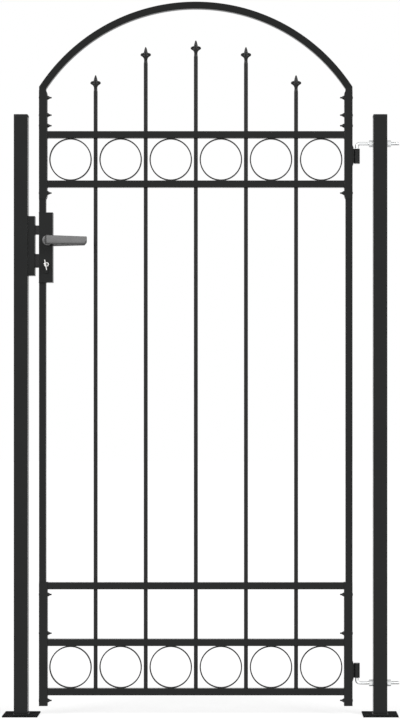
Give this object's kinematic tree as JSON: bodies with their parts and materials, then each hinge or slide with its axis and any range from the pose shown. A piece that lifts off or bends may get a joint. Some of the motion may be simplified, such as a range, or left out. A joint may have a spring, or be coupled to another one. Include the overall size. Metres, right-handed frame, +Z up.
{
  "type": "arched garden gate",
  "caption": "Single-leaf steel garden gate with a rolled arch, spear-topped bars, ring bands, square posts on base plates, pin hinges and a lever box lock.",
  "frame": {"origin": "centre of the hinge post's base plate, on its underside", "axes": "+X runs from the latch post towards the hinge post and its bolt ends, +Y to the back of the gate, +Z up along the posts"},
  "size_m": [1.1313, 0.1, 2.04],
  "materials": {
    "black_coat": "satin black powder coat on steel",
    "zinc": "bright zinc plate",
    "satin_aluminium": "satin anodised",
    "nickel": "satin nickel plate",
    "bolt_steel": "plain steel",
    "black_plastic": "matt moulded plastic"
  },
  "bodies": {
    "posts": {"latch_post": "black_coat", "hinge_post": "black_coat", "latch_post_base": "black_coat", "hinge_post_base": "black_coat", "latch_post_cap": "black_plastic", "hinge_post_cap": "black_plastic", "keeper": "black_coat", "upper_hinge_bolt": "zinc", "lower_hinge_bolt": "zinc", "upper_hinge_nuts": "zinc", "lower_hinge_nuts": "zinc"},
    "leaf": {"latch_stile_upper": "black_coat", "latch_stile_lower": "black_coat", "hinge_stile": "black_coat", "arch": "black_coat", "latch_sleeve_upper": "black_coat", "latch_sleeve_lower": "black_coat", "hinge_sleeve_upper": "black_coat", "hinge_sleeve_lower": "black_coat", "latch_stile_plug": "black_plastic", "hinge_stile_plug": "black_plastic", "rail_1": "black_coat", "rail_2": "black_coat", "rail_3": "black_coat", "rail_4": "black_coat", "rail_5": "black_coat", "bar_1": "black_coat", "bar_2": "black_coat", "bar_3": "black_coat", "bar_4": "black_coat", "bar_5": "black_coat", "finial_1": "black_coat", "finial_2": "black_coat", "finial_3": "black_coat", "finial_4": "black_coat", "finial_5": "black_coat", "upper_rings": "black_coat", "lower_rings": "black_coat", "upper_hinge_barrel": "black_coat", "lower_hinge_barrel": "black_coat", "lock_case": "black_coat", "lock_cylinder": "black_coat", "rosettes": "satin_aluminium"},
    "handle": {"front_lever": "satin_aluminium", "rear_lever": "satin_aluminium", "spindle": "bolt_steel"},
    "latch": {"latch_bolt": "bolt_steel"},
    "deadbolt": {"deadbolt": "bolt_steel"},
    "key": {"lock_core": "nickel", "key": "nickel"}
  },
  "joints": [
    {"name": "leaf_swing", "type": "hinge", "parent": "posts", "child": "leaf", "pos_m": [-0.0662, 0, 0], "axis": [0, 0, 1], "range_deg": [-100, 100]},
    {"name": "lever_turn", "type": "hinge", "parent": "leaf", "child": "handle", "pos_m": [-0.9495, 0, 1.3575], "axis": [0, 1, 0], "range_deg": [0, 45], "stiffness_Nm_per_rad": 1.2, "springref_deg": -34.38},
    {"name": "latch_slide", "type": "slide", "parent": "leaf", "child": "latch", "axis": [1, 0, 0], "range_m": [0, 0.0151]},
    {"name": "deadbolt_slide", "type": "slide", "parent": "leaf", "child": "deadbolt", "axis": [1, 0, 0], "range_m": [0, 0.0151]},
    {"name": "key_turn", "type": "hinge", "parent": "leaf", "child": "key", "pos_m": [-0.953, 0, 1.288], "axis": [0, 1, 0], "range_deg": [0, 360]}
  ],
  "couplings": [
    {"joint": "latch_slide", "follows": "lever_turn", "m_per_rad": 0.019099},
    {"joint": "deadbolt_slide", "follows": "key_turn", "m_per_rad": 0.002387}
  ]
}
